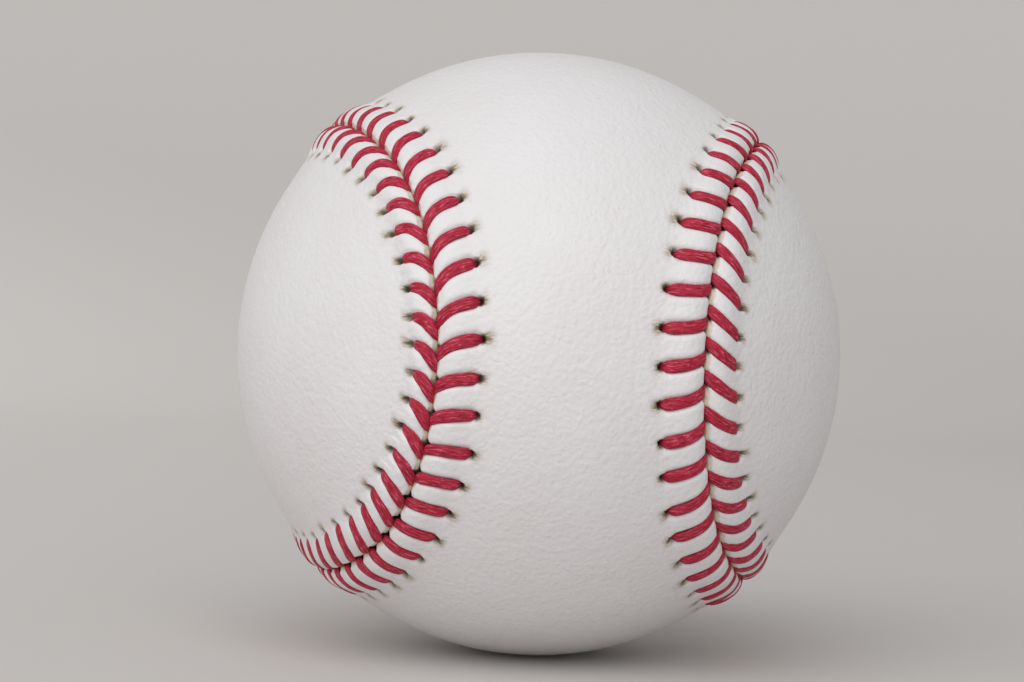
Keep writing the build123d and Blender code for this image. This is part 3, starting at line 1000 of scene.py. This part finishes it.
def yarn_material(name, colour, yarn):
    """Spun yarn of wool or cotton, wound tight.

    It gives the eye a soft matt strand with a fuzz of fibres, lighter and darker by the turn.
    """
    material, tree = new_material(name)
    place = add_node(tree, "ShaderNodeTexCoord").outputs["Object"]
    turns = add_node(tree, "ShaderNodeTexNoise", sockets={
        "Vector": place, "Scale": 0.4 / yarn, "Detail": 3.0})
    shade = add_node(tree, "ShaderNodeMix", COLOUR_MIX, {
        "Factor": turns.outputs["Fac"], COLOUR_A: opaque(colour, 0.72),
        COLOUR_B: opaque(colour, 1.15)})
    # Fibres 0.08 mm across
    fuzz = add_node(tree, "ShaderNodeTexNoise", sockets={
        "Vector": place, "Scale": 1 / (0.16 * MM), "Detail": 4.0, "Distortion": 1.5})
    bump = add_node(tree, "ShaderNodeBump", sockets={
        "Strength": 0.7, "Distance": 0.08 * MM, "Height": fuzz.outputs["Fac"]})
    shader = add_node(tree, "ShaderNodeBsdfPrincipled", sockets={
        "Base Color": shade.outputs[MIXED], "Roughness": 0.9, "IOR": 1.5, "Sheen Weight": 0.3,
        "Sheen Roughness": 0.5, "Normal": bump.outputs[0]})
    add_node(tree, "ShaderNodeOutputMaterial", sockets={"Surface": shader.outputs[0]})
    return material


class BASEBALL_OT_yarn_windings(bpy.types.Operator):
    """Wind the four layers of yarn under the leather"""

    bl_idname = "baseball.yarn_windings"
    bl_label = "Yarn Windings"

    def execute(self, context):
        seam = seam_shape(context.scene.baseball_seam)
        inner_nodes = [row[1] for row in WINDINGS[1:]] + ["outer_rubber_layer"]
        inner_dents = [row[-1] for row in WINDINGS[1:]] + [0.0]
        for row, inner_node, inner_dent in zip(WINDINGS, inner_nodes, inner_dents):
            name, node, slot, finish, code, thickness, turns, drift, dent = row
            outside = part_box(node)[1].z
            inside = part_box(inner_node)[1].z + LAYER_GAP
            yarn = thickness * MM
            dents = (dent * MM, inner_dent * MM)
            points, triangles = wound_yarn(seam, outside, inside, yarn, turns, drift, dents)
            material = yarn_material(finish, linear(code), yarn)
            new_piece(name, points, triangles, material, node)
        return {"FINISHED"}


# Cushioned centre
def rubber_material(name, colour):
    """Moulded rubber, as it leaves the press.

    It gives the eye a dull even colour, a dusty bloom and the faint grain of the mould.
    """
    material, tree = new_material(name)
    place = add_node(tree, "ShaderNodeTexCoord").outputs["Object"]
    bloom = add_node(tree, "ShaderNodeTexNoise", sockets={
        "Vector": place, "Scale": 1 / (4 * MM), "Detail": 5.0})
    shade = add_node(tree, "ShaderNodeMix", COLOUR_MIX, {
        "Factor": bloom.outputs["Fac"], COLOUR_A: opaque(colour, 0.8),
        COLOUR_B: opaque(colour, 1.15, 0.02)})
    # Mould grain of 0.25 mm
    grain = add_node(tree, "ShaderNodeTexNoise", sockets={
        "Vector": place, "Scale": 1 / (0.25 * MM), "Detail": 2.0})
    bump = add_node(tree, "ShaderNodeBump", sockets={
        "Strength": 0.3, "Distance": 0.05 * MM, "Height": grain.outputs["Fac"]})
    roughness = add_node(tree, "ShaderNodeMapRange", sockets={
        "Value": bloom.outputs["Fac"], "To Min": 0.5, "To Max": 0.75})
    shader = add_node(tree, "ShaderNodeBsdfPrincipled", sockets={
        "Base Color": shade.outputs[MIXED], "Roughness": roughness.outputs[0], "IOR": 1.52,
        "Normal": bump.outputs[0]})
    add_node(tree, "ShaderNodeOutputMaterial", sockets={"Surface": shader.outputs[0]})
    return material


def cork_material():
    """Composition cork: granules pressed with a binder.

    It gives the eye angular chips of tan and brown with dark lines between and small pits.
    """
    material, tree = new_material("composition_cork")
    place = add_node(tree, "ShaderNodeTexCoord").outputs["Object"]
    # Granules 1.6 mm across
    chips, seams = (
        add_node(tree, "ShaderNodeTexVoronoi", {"feature": feature}, {
            "Vector": place, "Scale": 1 / (1.6 * MM)})
        for feature in ("F1", "DISTANCE_TO_EDGE")
    )
    tint = add_node(tree, "ShaderNodeSeparateColor", sockets={"Color": chips.outputs["Color"]})
    chip_colour = add_node(tree, "ShaderNodeMix", COLOUR_MIX, {
        "Factor": tint.outputs[0], COLOUR_A: opaque(linear("#A87C50")),
        COLOUR_B: opaque(linear("#D2AA78"))})
    line = add_node(tree, "ShaderNodeMapRange", sockets={
        "Value": seams.outputs["Distance"], "From Max": 0.08})
    lined = add_node(tree, "ShaderNodeMix", COLOUR_MIX, {
        "Factor": line.outputs[0], COLOUR_A: opaque(linear("#5A3A22")),
        COLOUR_B: chip_colour.outputs[MIXED]})
    pits = add_node(tree, "ShaderNodeTexNoise", sockets={
        "Vector": place, "Scale": 1 / (0.4 * MM), "Detail": 3.0})
    bump = add_node(tree, "ShaderNodeBump", sockets={
        "Strength": 0.6, "Distance": 0.15 * MM, "Height": pits.outputs["Fac"]})
    shader = add_node(tree, "ShaderNodeBsdfPrincipled", sockets={
        "Base Color": lined.outputs[MIXED], "Roughness": 0.85, "IOR": 1.45,
        "Normal": bump.outputs[0]})
    add_node(tree, "ShaderNodeOutputMaterial", sockets={"Surface": shader.outputs[0]})
    return material


class BASEBALL_OT_cushioned_centre(bpy.types.Operator):
    """Finish the rubber layers and the cork inside the windings"""

    bl_idname = "baseball.cushioned_centre"
    bl_label = "Cushioned Centre"

    def execute(self, context):
        red = rubber_material("red_moulded_rubber", linear("#9C2F2B"))
        black = rubber_material("black_moulded_rubber", linear("#26241F"))
        finishes = {"outer_rubber_layer": red, "rubber_gasket": red, "upper_rubber_cup": black,
                    "lower_rubber_cup": black, "cork_core": cork_material()}
        for node, finish in finishes.items():
            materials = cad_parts[node].data.materials
            materials.clear()
            materials.append(finish)
        return {"FINISHED"}


# Stage
# Paper: radius of its bend, how far behind the ball that starts, and how far out and up it goes
PAPER_BEND, PAPER_DEPTH, PAPER_REACH, PAPER_TOP = 0.8, 0.6, 3.0, 3.0
BEND_ROWS = 24
# Its grade of painted light on the ground and painted shade on the upright and right hand: the way
# it runs, where it starts and ends, and the lightest and darkest share
GRADE_WAY, GRADE_START, GRADE_END = (0.2, 0.0, 1.0), -200 * MM, 75 * MM
PAINTED_LIGHT_SHARE, PAINTED_SHADE_SHARE = 1.49, 0.943
# Lamp: its strength, spread, way and colour, and the strength and colour of the light all round
LAMP_STRENGTH, LAMP_SPREAD, LAMP_WAY = 1.78, math.radians(75), Vector((0.3, 0.74, -0.6))
LAMP_COLOUR = (1.0, 0.995, 0.99)
AIR_STRENGTH, AIR_COLOUR = 0.458, "#F2F2F4"
# Camera: its place, its axes, its focal length and the picture's width in pixels
CAMERA_PLACE = Vector((-31.5175, -292.3470, 3.4651)) * MM
CAMERA_RIGHT = (0.994808, -0.095624, 0.034818)
CAMERA_UP = (-0.034004, 0.010138, 0.999370)
CAMERA_BACK = (-0.095917, -0.995366, 0.006833)
FOCAL_PIXELS, IMAGE_WIDTH, SENSOR_WIDTH = 2377.16, 1024, 36.0


def studio_paper(colour):
    """Matt studio paper, with painted light on the ground and painted shade on the upright and the
    right hand, graded between them.

    It gives the eye a plain pale ground with a barely visible tooth.
    """
    material, tree = new_material("studio_paper")
    place = add_node(tree, "ShaderNodeTexCoord").outputs["Object"]
    height = add_node(tree, "ShaderNodeVectorMath", {"operation": "DOT_PRODUCT"}, {
        0: place, 1: GRADE_WAY})
    grade = add_node(tree, "ShaderNodeMapRange", {"interpolation_type": "SMOOTHSTEP"}, {
        "Value": height.outputs["Value"], "From Min": GRADE_START, "From Max": GRADE_END})
    # Painted light towards the ground and painted shade towards the upright and the right hand
    shade = add_node(tree, "ShaderNodeMix", COLOUR_MIX, {
        "Factor": grade.outputs[0], COLOUR_A: opaque(colour, PAINTED_LIGHT_SHARE),
        COLOUR_B: opaque(colour, PAINTED_SHADE_SHARE)})
    # Tooth of 0.6 mm
    tooth = add_node(tree, "ShaderNodeTexNoise", sockets={
        "Vector": place, "Scale": 1 / (0.6 * MM), "Detail": 2.0})
    bump = add_node(tree, "ShaderNodeBump", sockets={
        "Strength": 0.1, "Distance": 0.05 * MM, "Height": tooth.outputs["Fac"]})
    shader = add_node(tree, "ShaderNodeBsdfPrincipled", sockets={
        "Base Color": shade.outputs[MIXED], "Roughness": 0.9, "Specular IOR Level": 0.1,
        "Normal": bump.outputs[0]})
    add_node(tree, "ShaderNodeOutputMaterial", sockets={"Surface": shader.outputs[0]})
    return material


def paper_sweep(floor):
    """Points and quads of the paper: level, a quarter round behind the ball, and upright beyond."""
    turn = np.linspace(0, math.pi / 2, BEND_ROWS)
    back = np.concatenate([
        [-PAPER_REACH], PAPER_DEPTH + PAPER_BEND * np.sin(turn), [PAPER_DEPTH + PAPER_BEND]])
    up = np.concatenate([[0], PAPER_BEND * (1 - np.cos(turn)), [PAPER_TOP]]) + floor
    sides = np.array([[-PAPER_REACH], [PAPER_REACH]])
    points = np.stack(np.broadcast_arrays(sides, back, up), -1).reshape(-1, 3)
    number, count = np.arange(len(back) - 1), len(back)
    return points, np.stack([number, number + count, number + count + 1, number + 1], -1)


class BASEBALL_OT_stage(bpy.types.Operator):
    """Set out the paper ground, the soft light and the camera"""

    bl_idname = "baseball.stage"
    bl_label = "Stage"

    def execute(self, context):
        scene = context.scene
        points, quads = paper_sweep(-scene.baseball_seam.ball_diameter / 2)
        mesh = bpy.data.meshes.new("paper_sweep")
        mesh.from_pydata(points.tolist(), [], quads.tolist())
        mesh.shade_smooth()
        mesh.materials.append(studio_paper(scene.baseball_colours.backdrop))
        sweep = bpy.data.objects.new("paper_sweep", mesh)
        scene.collection.objects.link(sweep)

        light = bpy.data.lights.new("broad_softbox", "SUN")
        light.energy, light.angle, light.color = LAMP_STRENGTH, LAMP_SPREAD, LAMP_COLOUR
        lamp = bpy.data.objects.new("broad_softbox", light)
        scene.collection.objects.link(lamp)
        lamp.rotation_euler = LAMP_WAY.to_track_quat("-Z", "Y").to_euler()
        scene.world = bpy.data.worlds.new("studio_air")
        scene.world.use_nodes = True
        air = scene.world.node_tree.nodes["Background"].inputs
        air["Color"].default_value = opaque(linear(AIR_COLOUR))
        air["Strength"].default_value = AIR_STRENGTH
        scene.view_settings.view_transform = "Standard"

        lens = bpy.data.cameras.new("camera")
        lens.sensor_width, lens.sensor_fit = SENSOR_WIDTH, "HORIZONTAL"
        lens.lens = SENSOR_WIDTH * FOCAL_PIXELS / IMAGE_WIDTH
        lens.clip_start = 0.01
        camera = bpy.data.objects.new("camera", lens)
        scene.collection.objects.link(camera)
        turned = Matrix((CAMERA_RIGHT, CAMERA_UP, CAMERA_BACK)).transposed().to_4x4()
        camera.matrix_world = Matrix.Translation(CAMERA_PLACE) @ turned
        scene.camera = camera
        return {"FINISHED"}


GROUPS = {
    "baseball_seam": BaseballSeam,
    "baseball_stitching": BaseballStitching,
    "baseball_colours": BaseballColours,
}
OPERATORS = (
    BASEBALL_OT_leather_panels, BASEBALL_OT_seam_thread, BASEBALL_OT_yarn_windings,
    BASEBALL_OT_cushioned_centre, BASEBALL_OT_stage,
)


class BASEBALL_PT_pieces(bpy.types.Panel):
    """Sizes, colours and pieces of the ball"""

    bl_label = "Baseball"
    bl_idname = "BASEBALL_PT_pieces"
    bl_space_type = "VIEW_3D"
    bl_region_type = "UI"
    bl_category = "Baseball"

    def draw(self, context):
        for operator in OPERATORS:
            self.layout.operator(operator.bl_idname)
        for group_name, group in GROUPS.items():
            for name in group.__annotations__:
                self.layout.prop(getattr(context.scene, group_name), name)


def register():
    """Register the sizes and colours, the operators and the panel."""
    for name, group in GROUPS.items():
        bpy.utils.register_class(group)
        setattr(bpy.types.Scene, name, bpy.props.PointerProperty(type=group))
    for item in (*OPERATORS, BASEBALL_PT_pieces):
        bpy.utils.register_class(item)


def unregister():
    """Take them out again, the last first."""
    for item in (BASEBALL_PT_pieces, *reversed(OPERATORS)):
        bpy.utils.unregister_class(item)
    for name, group in reversed(GROUPS.items()):
        delattr(bpy.types.Scene, name)
        bpy.utils.unregister_class(group)


def main():
    """Register the add-on, and make every piece in order."""
    register()
    bpy.ops.baseball.leather_panels()
    bpy.ops.baseball.seam_thread()
    bpy.ops.baseball.yarn_windings()
    bpy.ops.baseball.cushioned_centre()
    bpy.ops.baseball.stage()


if __name__ == "__main__":
    main()
